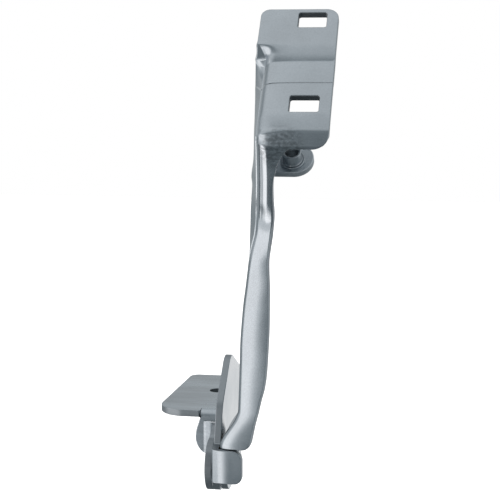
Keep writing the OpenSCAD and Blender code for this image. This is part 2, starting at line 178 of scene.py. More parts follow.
def near_loop(p, loop, gap):
    """True where a point lies within gap of the outline's points."""
    out = np.zeros(len(p), bool)
    for k in range(0, len(p), CHUNK):
        d = np.linalg.norm(p[k:k + CHUNK, None, :] - loop[None], axis=2)
        out[k:k + CHUNK] = d.min(1) < gap
    return out


def filled(loops, us, vs, gap):
    """Triangles over the area inside loops[0] and outside the others, on the points of the outlines
    and a us by vs grid."""
    g = np.stack(np.meshgrid(us, vs), -1).reshape(-1, 2)
    g = g[inside(g, loops[0])]
    for l in loops[1:]:
        g = g[~inside(g, l)]
    for l in loops:
        g = g[~near_loop(g, l, gap)]
    edge_pts = np.concatenate(loops)
    pts = np.concatenate([edge_pts, g])
    edges, s = [], 0
    for l in loops:
        i = np.arange(len(l))
        edges += np.stack([s + i, s + (i + 1) % len(l)], -1).tolist()
        s += len(l)
    v, _, f, ids, _, _ = delaunay_2d_cdt([Vector(p) for p in pts.tolist()], edges, [], 0, 1e-5, True)
    if len(v) != len(pts):
        raise ValueError("the outline crosses or doubles itself: %d points became %d" % (len(pts), len(v)))
    back = np.array([o[0] for o in ids])
    tri = back[np.array([list(t) for t in f if len(t) == 3])]
    c = pts[tri].mean(1)
    ok = inside(c, loops[0])
    for l in loops[1:]:
        ok &= ~inside(c, l)
    return pts, tri[ok]


def stamping(name, place, outer, holes=(), us=None, vs=None, t=SHEET, front=0.4, rear=0.4, gap=0.45):
    """A pressed sheet. place(u, v, h) turns blank coordinates and the depth h under the front face into
    pivot coordinates; outer and holes are outlines of the blank. Its edges are quarter rounds of radius
    front and rear: at angle g a rim point stands r - r*sin(g) inside the outline and r - r*cos(g) under
    the face."""
    loops = [turned(outer)] + [turned(h, False) for h in holes]
    at = np.concatenate(loops)
    n2 = np.concatenate([outward(l) for l in loops])
    rf = front(at) if callable(front) else np.full(len(at), front)
    rb = rear(at) if callable(rear) else np.full(len(at), rear)
    cuts = np.cumsum([len(l) for l in loops])[:-1]
    dark = np.where(np.arange(len(at)) < len(loops[0]), 1.0, 2.0)
    co, nr, faces = [], [], []

    def frame_at(p, h):
        e = 0.02
        x = place(p[:, 0], p[:, 1], h)
        du = place(p[:, 0] + e, p[:, 1], h) - place(p[:, 0] - e, p[:, 1], h)
        dv = place(p[:, 0], p[:, 1] + e, h) - place(p[:, 0], p[:, 1] - e, h)
        n = np.cross(du, dv)
        n /= np.maximum(np.linalg.norm(n, axis=1, keepdims=True), 1e-12)
        return x, n, du / (2 * e), dv / (2 * e)

    sizes = []
    for depth, r, sign in ((0.0, rf, 1), (t, rb, -1)):
        shrunk = at - n2 * r[:, None]
        pts, tri = filled(np.split(shrunk, cuts), us, vs, gap)
        x, n, _, _ = frame_at(pts, np.full(len(pts), depth))
        start = sum(sizes)
        faces += (tri[:, ::sign] + start).tolist()
        co.append(x)
        nr.append(n * sign)
        sizes.append(len(pts))
    cut = [np.zeros(sum(sizes))]
    angles = np.radians([22.5, 45, 67.5, 90])
    ring = [np.arange(len(at))]
    start = sum(sizes)
    for g, sign in [(g, 1) for g in angles] + [(g, -1) for g in angles[::-1]]:
        r = rf if sign > 0 else rb
        p = at - n2 * (r * (1 - math.sin(g)))[:, None]
        d = r * (1 - math.cos(g))
        h = d if sign > 0 else t - d
        x, n, du, dv = frame_at(p, h)
        side = du * n2[:, :1] + dv * n2[:, 1:]
        side -= n * np.sum(side * n, 1, keepdims=True)
        side /= np.maximum(np.linalg.norm(side, axis=1, keepdims=True), 1e-12)
        co.append(x)
        nr.append(n * sign * math.cos(g) + side * math.sin(g))
        cut.append(dark * max(0.0, math.sin(g) * 1.6 - 0.6))
        ring.append(np.arange(len(at)) + start)
        start += len(at)
    ring.append(np.arange(len(at)) + sizes[0])
    for a, b in zip(ring[:-1], ring[1:]):
        s = 0
        for l in loops:
            i = s + np.arange(len(l))
            j = s + (np.arange(len(l)) + 1) % len(l)
            faces += np.stack([a[i], b[i], b[j], a[j]], -1).tolist()
            s += len(l)
    return put(name, np.concatenate(co), faces, np.concatenate(nr), np.concatenate(cut))


def lathe(name, profile, origin, axis, side, turns=96, wave=None):
    """A closed profile of [along, radius] points carried round an axis: a point stands at
    origin + along*axis + radius*(cos(g)*side + sin(g)*third). wave(g, along, radius) is added to the radius."""
    p = np.array(profile, float)
    axis, side = np.array(axis, float), np.array(side, float)
    third = np.cross(axis, side)
    g = np.linspace(0, 2 * np.pi, turns, endpoint=False)
    r = p[:, 1][:, None] + (wave(g[None, :], p[:, 0][:, None], p[:, 1][:, None]) if wave else 0)
    co = (np.array(origin) + p[:, 0][:, None, None] * axis
          + r[..., None] * (np.cos(g)[None, :, None] * side + np.sin(g)[None, :, None] * third))
    faces = grid_faces(len(p), turns, wrap=True)
    i = np.arange(turns)
    last = (len(p) - 1) * turns
    faces += np.stack([last + i, last + (i + 1) % turns, (i + 1) % turns, i], -1).tolist()
    return put(name, co.reshape(-1, 3), faces)


def soft(profile, r=0.3, steps=4):
    """A closed profile with its corners rounded, points [along, radius] or [along, radius, own rounding]."""
    return rounded([[*q[:2], q[2] if len(q) > 2 else r] for q in profile], step=max(r / steps, 0.05))


# ---------------------------------------------------------------- shapes of the stampings

def station_curve(table):
    """Smooth curve through [height, value] stations: cubic between stations, level beyond them,
    with the harmonic mean of the neighbouring slopes as its slope at each station."""
    t = np.array(table, float)
    h = np.diff(t[:, 0])
    d = np.diff(t[:, 1]) / h
    m = np.zeros(len(t))
    same = d[1:] * d[:-1] > 0
    m[1:-1][same] = 2 * d[1:][same] * d[:-1][same] / (d[1:][same] + d[:-1][same])

    def value(z):
        z = np.clip(np.asarray(z, float), t[0, 0], t[-1, 0])
        i = np.clip(np.searchsorted(t[:, 0], z, side="right") - 1, 0, len(h) - 1)
        u = (z - t[i, 0]) / h[i]
        return ((2 * u**3 - 3 * u**2 + 1) * t[i, 1] + (u**3 - 2 * u**2 + u) * h[i] * m[i]
                + (3 * u**2 - 2 * u**3) * t[i + 1, 1] + (u**3 - u**2) * h[i] * m[i + 1])
    return value


def step_up(p, lean, d):
    """The point [y, z] that lies d from p up a line leaning back by lean degrees."""
    return p + d * np.array([math.sin(math.radians(lean)), math.cos(math.radians(lean))])


# Corners of the arm's outer face seen from the side, as [y, z], and the lean in degrees of each straight
PLATE_LEAN, MIDDLE, LOWER = 44.0, 5.8, 13.5
NOSE_LEAN, SHARP_R = 38.5, 8.0              # overhang and nose radius of the sharper line that sets the nose line
NOSE_R = 7.6
foot = np.array([TAB_FRONT + 0.9, 12.0])
knee = step_up(foot, LOWER, 47.3)
nose = step_up(step_up(knee, MIDDLE, 59.3), -NOSE_LEAN, 60.7)
elbow = step_up(knee, MIDDLE, 61.3)
OVERHANG = math.degrees(math.atan2(elbow[0] - nose[0], nose[1] - elbow[1]))
nose_cut = SHARP_R * math.tan(math.radians((NOSE_LEAN + PLATE_LEAN) / 2))
turn_in = step_up(nose, PLATE_LEAN, 12.0)   # here the plate starts to curve down into the nose
EARLY = PLATE_LEAN - 8.0
ta, tb = math.tan(math.radians(EARLY)), math.tan(math.radians(OVERHANG))
z_tip = (elbow[0] + elbow[1] * tb - turn_in[0] + turn_in[1] * ta) / (ta + tb)
tip = np.array([elbow[0] - (z_tip - elbow[1]) * tb, z_tip])
plate_end = step_up(nose, PLATE_LEAN, PLATE_TOP + nose_cut)
COS_P, SIN_P = math.cos(math.radians(PLATE_LEAN)), math.sin(math.radians(PLATE_LEAN))
Z_NOSE = nose[1] + nose_cut * COS_P
Y_NOSE = nose[0] + nose_cut * SIN_P
Z_TOP = plate_end[1]


def bend_line(p, a0, a1, r, steps):
    """Arc that joins two straights leaning a0 and a1 degrees at the corner p, as [y, z, lean] rows."""
    cut = r * math.tan(math.radians(abs(a1 - a0)) / 2)
    s = step_up(p, a0, -cut)
    g = 1 if a1 > a0 else -1
    o = s + g * r * np.array([math.cos(math.radians(a0)), -math.sin(math.radians(a0))])
    a = np.linspace(a0, a1, steps)
    ar = np.radians(a)
    return np.stack([o[0] - g * r * np.cos(ar), o[1] + g * r * np.sin(ar), a], -1)


front_line = np.concatenate([[[foot[0], foot[1] - 14, 0]], bend_line(foot, 0, LOWER, 40, 24),
                             bend_line(knee, LOWER, MIDDLE, 120, 24), bend_line(elbow, MIDDLE, -OVERHANG, 10, 48),
                             bend_line(tip, -OVERHANG, EARLY, NOSE_R, 64),
                             bend_line(turn_in, EARLY, PLATE_LEAN, 42, 16),
                             [[plate_end[0], plate_end[1], PLATE_LEAN]]])


def front_y(z):
    """The y of the outer face at each station; beyond the line's end it goes on with the plate's lean."""
    top = np.maximum(z - Z_TOP, 0) * SIN_P / COS_P
    return np.interp(z, front_line[:, 1], front_line[:, 0]) + top


def front_lean(z):
    """The lean of the outer face at each station, in radians."""
    return np.radians(np.interp(z, front_line[:, 1], front_line[:, 2]))


# Stations are heights in mm over the pivot. wall_x: the side wall at its bend. far_x, far_y, far_z: the wall's
# far edge. wall_fade: 1 where the wall stands, 0 where the plate is flat. twist and fold: see arm_face.
# right_edge: the right edge of the flange.
wall_x = station_curve([[0, ARM_X], [13, ARM_X], [31, WALL_LOW + 0.2], [45, WALL_LOW + 0.15], [60, WALL_LOW],
                        [74, WALL_LOW + 0.7], [82.5, WALL_LOW + 1.4], [88, WALL_LOW + 2.1], [97, WALL_LOW + 3.1],
                        [107, WALL_LOW + 4.6], [117, WALL_LOW + 6.8], [133, WALL_LOW + 9.3], [148, WALL_LOW + 11],
                        [163, WALL_LOW + 12.3], [196, WALL_LOW + 12.3]])
far_y = station_curve([[0, 12], [14, 13], [40, 15.5], [70, 17.5], [100, 18], [117, 17], [125, 14.5], [133, 8.5],
                       [139, 1.8], [148, 7.4], [157, 13.7], [163, 14.2], [170, 13], [180, 10], [190, 6.6], [200, 4.6]])
far_z_up = station_curve([[0, 0], [14, 13.5], [40, 40], [70, 70], [100, 100], [117, 118], [125, 128], [133, 138],
                          [139, 143.6], [148, 149.7], [157, 156], [163, 160.5], [170, 167], [180, 177], [190, 188],
                          [200, 198.4]])


def far_z(z):
    """Height of the far edge, which falls with the station below the pivot."""
    return far_z_up(z) + np.minimum(z, 0)


far_x = station_curve([[0, ARM_X], [13, ARM_X], [31, WALL_LOW + 0.2], [60, WALL_LOW], [75, WALL_LOW + 0.6],
                       [90, WALL_LOW + 1.4], [100, WALL_LOW + 2.05], [111, WALL_LOW + 2.4], [122, WALL_LOW + 2.95],
                       [139, WALL_LOW + 5.5], [148, WALL_LOW + 5.5], [157, WALL_LOW + 4.95], [163, WALL_LOW + 4.95],
                       [175, WALL_LOW + 5.65], [185, WALL_LOW + 6.35], [200, WALL_LOW + 6.9]])


def pad_lift(s):
    """Height of the pads over the lower one, s up the plate: a sharp step down of 0.6 mm at s 26, then from
    s 40.7 a rise of 1.4 mm that starts steep and dies out as 1 - (1 - t)^2 over 9.5 mm."""
    down = np.clip((s - 25.9) / 1.3, 0, 1)
    t = np.clip((s - 40.7) / 9.5, 0, 1)
    return -0.6 * down * down * (3 - 2 * down) + 1.4 * (1 - (1 - t) ** 2)


wall_fade = station_curve([[Z_NOSE + 44.5 * COS_P, 1], [Z_NOSE + 50.4 * COS_P, 0]])
twist = station_curve([[22, 0], [30, 0.04], [45, 0.06], [60, 0.12], [90, 0.12], [102, 0.05], [113, 0.26], [121, 0.28],
                       [132, 0.04], [148, 0.0], [157, -0.09], [165, -0.08], [169, 0.06], [171, 0.06], [176, 0]])
fold = station_curve([[114, 0], [126, 0.24], [154, 0.24], [162, 0]])
right_edge = station_curve([[14.5, ARM_X + 15.3], [16, ARM_X + 15.9], [18.8, ARM_X + 16.45], [24.5, ARM_X + 17.45],
                            [30.2, ARM_X + 18.75], [36, ARM_X + 20], [41.6, ARM_X + 21.4], [47.3, ARM_X + 22.15],
                            [55.8, ARM_X + 22.55], [73, ARM_X + 23], [88, ARM_X + 22.8], [97.5, ARM_X + 22.3],
                            [102, ARM_X + 22.2], [107, ARM_X + 22.45], [117, ARM_X + 23.4], [122, ARM_X + 24.3],
                            [127.7, ARM_X + 25], [133, ARM_X + 25.4], [138, ARM_X + 25.9], [143, ARM_X + 26.8],
                            [149, ARM_X + 28.7]])


def wall_span(z):
    """Width of the side wall beyond its bend, and the wall's start and far edge at each station."""
    a = front_lean(z)
    start = np.stack([wall_x(z), front_y(z) + BEND_R * np.cos(a), z - BEND_R * np.sin(a)], -1)
    far = np.stack([far_x(z), far_y(z), far_z(z)], -1)
    return np.linalg.norm(far - start, axis=-1), start, far


def left_limit(z):
    """Blank coordinate of the arm's left edge: the wall's far edge, fading into the plate's own left edge."""
    span, _, _ = wall_span(z)
    on = wall_fade(z)
    return on * (-BEND_LEN - span) + (1 - on) * (PLATE_LEFT - wall_x(z) - BEND_R)


def summed(slope):
    """Sum of a slope over w, from the right end of the section to each point of it."""
    return np.cumsum(slope[::-1])[::-1] * STEP


# The section of the arm against w, each as far as the right end: its turn, the way across and back, and the two
# curves that twist and fold are multiplied with
BEND_W = np.arange(-BEND_LEN, 40, STEP)
BEND_TURN = np.where(BEND_W < -2.2, -BEND_W / BEND_R,
                     0.44 * (0.62 * np.exp(-(BEND_W + 2.2) / 1.5) + 0.38 * np.exp(-(BEND_W + 2.2) / 5.0)))
BEND_X = BEND_W[-1] - summed(np.cos(BEND_TURN))
BEND_D = summed(np.sin(BEND_TURN))
BEND_X = np.where(BEND_X < 0, BEND_X * BEND_R / -BEND_X[0], BEND_X)
BEND_D *= BEND_R / BEND_D[0]
CREASE = summed(np.clip((BEND_W + 3) / 0.8, 0, 1) * np.clip((0.3 - BEND_W) / 0.7, 0, 1))
CROWN = summed(np.clip((BEND_W + 3) / 3, 0, 1) * np.clip(1 - BEND_W / 9, 0, 1))


def arm_face(w, z):
    """Outer face of the arm. w runs from the front bend to the right along the flange, and to the left round the
    bend and out along the side wall; z is the station. Over the wall's run-out the bent and the flat shape are
    mixed, and the flat one swells to the left by 1.6 mm at z 202.4, where the wall ends.
    twist(z) * CROWN turns the flange further to the left: CROWN is the sum over w of a slope that rises over 3 mm
    and dies out over 9 mm. fold(z) * CREASE does the same over the last 3 mm of the bend and ends at a crease.
    The section is the sum of cos(turn) across and sin(turn) back over w, where the turn falls as w / BEND_R round
    the bend and then dies out along the flange, which leaves the flange slightly crowned."""
    a = front_lean(z)
    s = (z - Z_NOSE) / COS_P
    lift = np.where(s > 0, pad_lift(s), 0.0)
    y0, z0 = front_y(z) - lift * np.cos(a), z + lift * np.sin(a)
    span, start, far = wall_span(z)
    past = np.maximum(-w - BEND_LEN, 0)
    e = past / span
    more = twist(z) * np.interp(w, BEND_W, CROWN) + fold(z) * np.interp(w, BEND_W, CREASE)
    d = np.interp(w, BEND_W, BEND_D) + more * (1 - e)
    x = wall_x(z) + BEND_R + np.interp(w, BEND_W, BEND_X) + np.maximum(w - BEND_W[-1], 0)
    bent = np.stack([x, y0 + d * np.cos(a), z0 - d * np.sin(a)], -1)
    bent = bent + (far - start) * e[:, None]
    flat = np.stack([wall_x(z) + BEND_R + w, y0, z0], -1)
    lim, top_lim = left_limit(z), PLATE_LEFT - wall_x(z) - BEND_R
    stretch = np.where(w < 0, w * np.minimum(top_lim / np.minimum(lim, -0.5), 1.0), w)
    swell = 1.6 * np.exp(-((z - 202.4) / 2.6) ** 2) * np.clip(-w / 5, 0, 1)
    flat[:, 0] = wall_x(z) + BEND_R + stretch - swell
    on = wall_fade(z)[:, None]
    return on * bent + (1 - on) * flat


def ridge(w, z):
    """The wall stands up to 0.5 mm proud of the bend behind a steep step 0.3 mm wide. That height dies out to the
    wall's far edge, below z 110 and over the last 3.5 mm under the run-out."""
    past = np.maximum(-w - BEND_LEN, 0)
    k = np.clip(past / 0.3, 0, 1)
    across = 1 - past / np.maximum(wall_span(z)[0], past)
    low = np.clip((z - 96) / 14, 0, 1)
    top = np.clip((Z_NOSE + 38.5 * COS_P - z) / 3.5, 0, 1)
    return 0.5 * k * k * (3 - 2 * k) * across * low * top


def arm_place(w, z, h):
    """The arm's face moved by h against its own normal, with the ridge on its front only."""
    e = 0.05
    n = np.cross(arm_face(w + e, z) - arm_face(w - e, z), arm_face(w, z + e) - arm_face(w, z - e))
    n /= np.maximum(np.linalg.norm(n, axis=1, keepdims=True), 1e-12)
    x = arm_face(w, z) - n * np.reshape(h, (-1, 1))
    x[:, 0] -= ridge(w, z) * (1 - np.asarray(h) / SHEET)
    return x


def on_plate(x, s, h):
    """Pivot coordinates of a point x across, s up the bonnet plate from the nose line, and h out of it."""
    return np.stack(np.broadcast_arrays(x, Y_NOSE + s * SIN_P - h * COS_P, Z_NOSE + s * COS_P + h * SIN_P), -1)


def to_blank(x, z):
    """Blank coordinates of a point of the flange or the plate, x across at station z."""
    return np.stack([x - wall_x(z) - BEND_R, z], -1)


def build_arm():
    """The arm without its ear: foot, flange, nose and plate on the right, the side wall on the left, and the eye."""
    z = np.concatenate([np.arange(15.6, 149, 1.2), [149]])
    right = np.stack([right_edge(z), z], -1)
    foot_edge = arc_points(15.5, 16.1, 4.1, -90, -20)
    side = rounded([[32.75, 149, 0], [35.05, 153.5, 8], [39.0, 158.25, 2.5], [PLATE_RIGHT, 158.25, 8],
                    [PLATE_RIGHT, 175, 0], [32.75, 175, 0]])[1:-1]
    top = rounded([[PLATE_RIGHT, 60, 0], [PLATE_RIGHT, PLATE_TOP, 6], [PLATE_LEFT, PLATE_TOP, 4.5],
                   [PLATE_LEFT, 60, 0]])
    top = np.stack([top[:, 0], Z_NOSE + top[:, 1] * COS_P], -1)
    chain = np.concatenate([foot_edge, right, side, top])
    chain = to_blank(chain[:, 0], chain[:, 1])
    zl = np.concatenate([np.arange(Z_NOSE + 60 * COS_P - 0.8, 208, -0.8), np.arange(207.6, 198, -0.45),
                         np.arange(197.4, 1.0, -0.8)])
    left = np.stack([left_limit(zl), zl], -1)
    eye_w = -BEND_LEN + (foot[0] + BEND_R)
    eye = arc_points(eye_w, 0, EYE_R, 180, 360)
    root = rounded([[eye_w + EYE_R, 1, 0], [eye_w + EYE_R, 12.0, 1.4], [2, 12.0, 0], [2, 1, 0]])[1:-2]
    outline = spaced(np.concatenate([chain, left, eye, root]), 0.9)
    holes = []
    for s in SLOT_S:
        q = rounded([[SLOT_X - SLOT_HALF_X, s - SLOT_HALF_S, 1], [SLOT_X + SLOT_HALF_X, s - SLOT_HALF_S, 1],
                     [SLOT_X + SLOT_HALF_X, s + SLOT_HALF_S, 1], [SLOT_X - SLOT_HALF_X, s + SLOT_HALF_S, 1]], 0.2)
        holes.append(spaced(to_blank(q[:, 0], Z_NOSE + q[:, 1] * COS_P), 0.7))
    holes.append(spaced(arc_points(eye_w, 0, BUSH_OUT, 0, 356, 0.5), 0.7))
    ridge_foot = -BEND_LEN - np.array([1.2, 0.8, 0.5, 0.32, 0.26, 0.2, 0.15, 0.1, 0.05, 0.0])
    us = np.concatenate([np.arange(-60, -BEND_LEN - 1.6, 1.6), ridge_foot, np.arange(-BEND_LEN + 0.1, 1.0, 0.4),
                         np.arange(1.6, 42, 1.6)])
    vs = np.concatenate([np.arange(-12, 104, 1.6), np.arange(104, 130, 0.6), np.arange(130, 158, 1.3),
                         np.arange(158, Z_NOSE + 4, 0.6), np.arange(Z_NOSE + 4.5, Z_NOSE + 30, 0.8),
                         np.arange(Z_NOSE + 30.4, Z_NOSE + 39, 0.45), np.arange(Z_NOSE + 39.5, Z_TOP, 1.2)])

    def roll(p):
        """Edge radius: larger on the flange's free right edge."""
        free = (p[:, 0] > 2.0) & (p[:, 1] > 13.0) & (p[:, 1] < 160)
        return np.where(free, 0.9, 0.45)
    return stamping("arm_pressing", arm_place, outline, holes, us, vs, front=roll)


def build_ear():
    """Ear: a flat tongue parallel to the bonnet plate, with its lower face EAR_DEPTH + SHEET under it."""
    def place(u, v, h):
        return on_plate(u, v, -EAR_DEPTH - h)
    half, low, root, end = 9.25, 3.8, 19.2, 47.3
    out = np.concatenate([arc_points(end - half, low + half, half, -90, 90), [[root, low + 2 * half], [root, low]]])
    hole = arc_points(NUT_X, NUT_S, 3.4, 0, 355)
    return stamping("arm_ear", place, spaced(out, 0.8), [spaced(hole, 0.6)], np.arange(18, 48, 1.5),
                    np.arange(3, 24, 1.5), front=0.5, rear=0.5)


def build_ear_fillet():
    """Inside fillet between the side wall and the ear, a quarter round of radius 2.8 mm carried up the ear."""
    s = np.linspace(4.0, 22.0, 28)
    r, x0, top = 2.8, 21.6, -EAR_DEPTH
    section = [(x0 + r - r * math.sin(g), top + r - r * math.cos(g)) for g in np.linspace(0, np.pi / 2, 12)]
    section += [(x0 - 1.2, top + r), (x0 - 1.2, top - 1.0), (x0 + r, top - 1.0)]
    co = np.array([on_plate(np.full(len(s), x), s, h) for x, h in section]).reshape(-1, 3)
    m, n = len(section), len(s)
    i = np.arange(n - 1)
    q = np.concatenate([np.array(grid_faces(m, n)), np.stack([(m - 1) * n + i, (m - 1) * n + i + 1, i + 1, i], -1)])
    caps = [[k * n for k in range(m)], [k * n + n - 1 for k in range(m)][::-1]]
    return put("arm_ear_fillet", co, q[:, ::-1].tolist() + caps)


SEAM_U = -11.06   # blank coordinate of the cut beside the leg, left of which the flange runs on flat


def base_place(u, v, h):
    """Base bracket: the leg stands in the plane y = LEG_BACK. Above v1 the sheet turns back through a quarter circle
    into the bolt flange; right of u1 it turns forward through a quarter circle into the pivot eye."""
    u, v, h = (np.asarray(k, float) for k in (u, v, h))
    v1, u1 = FLANGE_TOP - BEND_R, -SHEET - LEG_BEND
    g = np.clip((v - v1) / BEND_R, 0, np.pi / 2)
    past = np.maximum(v - v1 - BEND_LEN, 0)
    up = np.stack([u, LEG_BACK + BEND_R - (BEND_R - h) * np.cos(g) + past,
                   v1 + np.minimum(v - v1, 0) + (BEND_R - h) * np.sin(g)], -1)
    q = np.clip((u - u1) / LEG_BEND, 0, np.pi / 2)
    past = np.maximum(u - u1 - LEG_BEND * np.pi / 2, 0)
    across = np.stack([np.minimum(u, u1) + (LEG_BEND + h) * np.sin(q),
                       LEG_BACK - LEG_BEND + (LEG_BEND + h) * np.cos(q) - past, v], -1)
    flat = np.stack([u, v - v1 - BEND_LEN + LEG_BACK + BEND_R, FLANGE_TOP - h], -1)
    wing = ((u < SEAM_U) & (v > 18.5))[:, None]
    corner = ((u > u1) & (v < 16.6))[:, None]
    return np.where(wing, flat, np.where(corner, across, up))


def build_base():
    """The base bracket: lobe of the leg, bolt flange with a cut beside the leg and a slit over the eye, and the eye."""
    v1 = FLANGE_TOP - BEND_R
    vy = v1 + BEND_LEN - LEG_BACK - BEND_R     # blank height of a point on the flange is its y plus vy
    eye_u = -SHEET - LEG_BEND + LEG_BEND * math.pi / 2 + 11.0
    seam_top, near, back = 22.5 + vy, 17.3 + vy, 91 + vy
    lobe = arc_points(-3, 8, 10.5, 231.8, 172, 0.4)
    leg = np.array([[-13.2, 11.2], [-12.5, 13.9], [-11.75, 16.0], [-11.15, 18.0], [-11.0, 19.2], [-11.0, 21.5]])
    wing = rounded([[-11.0, v1 + 6.9, 0], [-11.0, seam_top, 0], [-11.12, seam_top, 0], [-11.12, near, 0],
                    [-34.6, near, 13], [-29.6, back, 5], [0, back, 2], [0, v1 - 0.12, 0], [-9.0, v1 - 0.12, 0],
                    [-9.0, v1 - 0.24, 0], [-0.08, v1 - 0.24, 0]], 0.2)[1:]
    tang = arc_points(eye_u, 0, PLATE_EYE_R, 94, -110, 0.5)
    low = np.array([[eye_u - 11.5, -0.6]])
    loop = spaced(np.concatenate([lobe, leg, wing, tang, low]), 0.9)
    bolt = arc_points(-9.0, 58 + vy, 4.25, 0, 356, 0.4)
    pin = arc_points(eye_u, 0, PIN_R, 0, 356, 0.4)
    us = np.concatenate([np.arange(-34, -10, 1.5), np.arange(-9.5, 0.4, 0.6), np.arange(0.8, 25, 1.2)])
    vs = np.concatenate([np.arange(-14, v1, 1.2), np.arange(v1 + 0.3, v1 + BEND_LEN + 0.5, 0.6),
                         np.arange(v1 + BEND_LEN + 1, 100, 1.8)])

    def edge(p):
        """Edge radius: almost sharp along the cut and the slit, which are narrower than a round."""
        seam = (np.abs(p[:, 0] - SEAM_U) < 0.3) & (p[:, 1] > 19.9) & (p[:, 1] < 25.6)
        slit = (np.abs(p[:, 1] - v1 + 0.18) < 0.3) & (p[:, 0] > -9.2) & (p[:, 0] < -0.3)
        return np.where(seam | slit, 0.03, 0.4)
    return stamping("base_pressing", base_place, loop, [spaced(bolt, 0.6), spaced(pin, 0.6)], us, vs, front=edge,
                    rear=edge, gap=0.35)


# The outside of the tab's bend against its length: its turn, and the way forward and across
TAB_R = SHEET + 1
TAB_NEAR = TAB_FRONT + TAB_R            # y where the fin ends and the bend starts
TAB_INNER_END = 5.5                     # length at which the inside of the bend is through
TAB_U = np.arange(0, 12, STEP)
TAB_G = np.radians(np.interp(TAB_U, [0, 1.3, 2.4, 3.5, 4.7, 6.2, 7.7, 9.2, 10.7], [90, 71, 50, 29, 16, 9, 5, 2, 0]))
TAB_Y = np.concatenate([[0], np.cumsum(np.sin(TAB_G))[:-1] * STEP])
TAB_SCALE = TAB_R / TAB_Y[-1]
TAB_U, TAB_Y = TAB_U * TAB_SCALE, TAB_Y * TAB_SCALE
TAB_X = np.concatenate([[0], np.cumsum(np.cos(TAB_G))[:-1] * STEP]) * TAB_SCALE


def stop_place(u, v, h):
    """Stop plate: the fin lies in the plane x = 0 for u < 0; the sheet then turns right into the tab. The outside
    of the bend is tight at first and then slower: the sum of cos(turn) across and sin(turn) forward over its
    length. The inside is a quarter circle of radius TAB_R - SHEET, and points between are mixed by their depth."""
    u, v, h = (np.asarray(k, float) for k in (u, v, h))
    k, inner = h / SHEET, TAB_R - SHEET
    g = np.clip(u / TAB_INNER_END, 0, 1) * np.pi / 2
    run = np.clip((u - TAB_INNER_END) / (TAB_U[-1] - TAB_INNER_END), 0, 1) * (TAB_X[-1] - TAB_R)
    x = (1 - k) * np.interp(u, TAB_U, TAB_X) + k * (TAB_R - inner * np.cos(g) + run) + np.maximum(u - TAB_U[-1], 0)
    y = (1 - k) * np.interp(u, TAB_U, TAB_Y) + k * inner * np.sin(g)
    return np.stack([x, TAB_NEAR - y - np.minimum(u, 0), v], -1)


def build_stop():
    """The stop plate: fin, eye and tab."""
    near = TAB_NEAR
    top = 11.7
    low = top - 16.6
    end = 15.7 - TAB_X[-1] + TAB_U[-1]
    tail = rounded([[end - 8, low, 0], [end, low, 4], [end, top, 5], [near + 5.2, top, 1.5], [near - 1.5, 29.8, 14],
                    [near - 27.5, 50.5, 11], [near - 62, 34.3, 9], [near - 58, 16, 9], [near - 14, -9, 12],
                    [near - 4, -PLATE_EYE_R * 0.95, 0]])[1:]
    eye = arc_points(near, 0, PLATE_EYE_R, 252, 337)
    loop = np.concatenate([tail, eye, [[2.0, low]]])
    pin = arc_points(near, 0, PIN_R, 0, 356, 0.4)
    us = np.concatenate([np.arange(-76, -1, 1.6), np.arange(-0.5, 12, 0.45), np.arange(12.4, 20, 1.0)])
    return stamping("stop_pressing", stop_place, spaced(loop, 0.8), [spaced(pin, 0.6)], us, np.arange(-14, 52, 1.5))


# ---------------------------------------------------------------- turned pieces and the weld

def build_pin():
    """The pin: countersunk end in the bracket, shank through bracket and stop plate, seat of the bush, and head."""
    head = WASHER_X + WASHER_T
    prof = soft([[-SHEET, 0.001, 0], [-SHEET, 6.2, 0.3], [-SHEET + 1.2, PIN_R, 0], [SHEET, PIN_R, 0],
                 [SHEET, 6.0, 0.1], [head, 6.0, 0], [head, 8.5, 0.3], [head + 3, 8.5, 1.1], [head + 3, 2.2, 0.4],
                 [head + 2.6, 1.6, 0.3], [head + 2.6, 0.001, 0]])
    return lathe("pin_turned", prof[::-1], [0, 0, 0], [1, 0, 0], [0, 1, 0])


def build_bush():
    """The flanged bush in the arm's eye."""
    prof = soft([[ARM_X - 0.5, BUSH_IN, 0.1], [ARM_X - 0.5, 9.5, 0.15], [ARM_X, 9.5, 0.1], [ARM_X, BUSH_OUT, 0],
                 [ARM_X + SHEET, BUSH_OUT, 0.1], [ARM_X + SHEET, BUSH_IN, 0.1]])
    return lathe("bush_turned", prof, [0, 0, 0], [1, 0, 0], [0, 1, 0])


def build_washer():
    """The washer between the arm and the head of the pin."""
    a, b = WASHER_X, WASHER_X + WASHER_T
    prof = soft([[a, BUSH_IN, 0.15], [a, 9.0, 0.3], [b, 9.0, 0.3], [b, BUSH_IN, 0.15]])
    return lathe("washer_turned", prof, [0, 0, 0], [1, 0, 0], [0, 1, 0])


def build_nut():
    """Weld nut: collar, barrel and a bore with a cut thread, whose wall moves in and out with
    a triangle wave of the angle plus the height over the pitch."""
    pitch = 1.0
    bore = [[h, 3.0] for h in np.arange(6.3, 0.2, -0.12)]
    outer = [[0, 3.5, 0.1], [0, 5.9, 0.25], [1.5, 5.9, 0.35], [1.5, 4.75, 0.25], [2.0, 4.55, 0.2], [7.3, 4.55, 0.35],
             [7.3, 3.85, 0.12], [6.6, 3.15, 0.1]]
    prof = np.concatenate([soft(outer), np.array(bore)])

    def thread(g, a, r):
        cut = np.abs(((a / pitch + g / (2 * np.pi)) % 1.0) - 0.5) * 2
        return np.where((r < 3.05) & (a < 6.35) & (a > 0.15), 0.34 * (cut - 0.5), 0.0)
    o = on_plate(NUT_X, NUT_S, -EAR_DEPTH)
    return lathe("nut_turned", prof, o, [0, -COS_P, SIN_P], [1, 0, 0], turns=120, wave=thread)


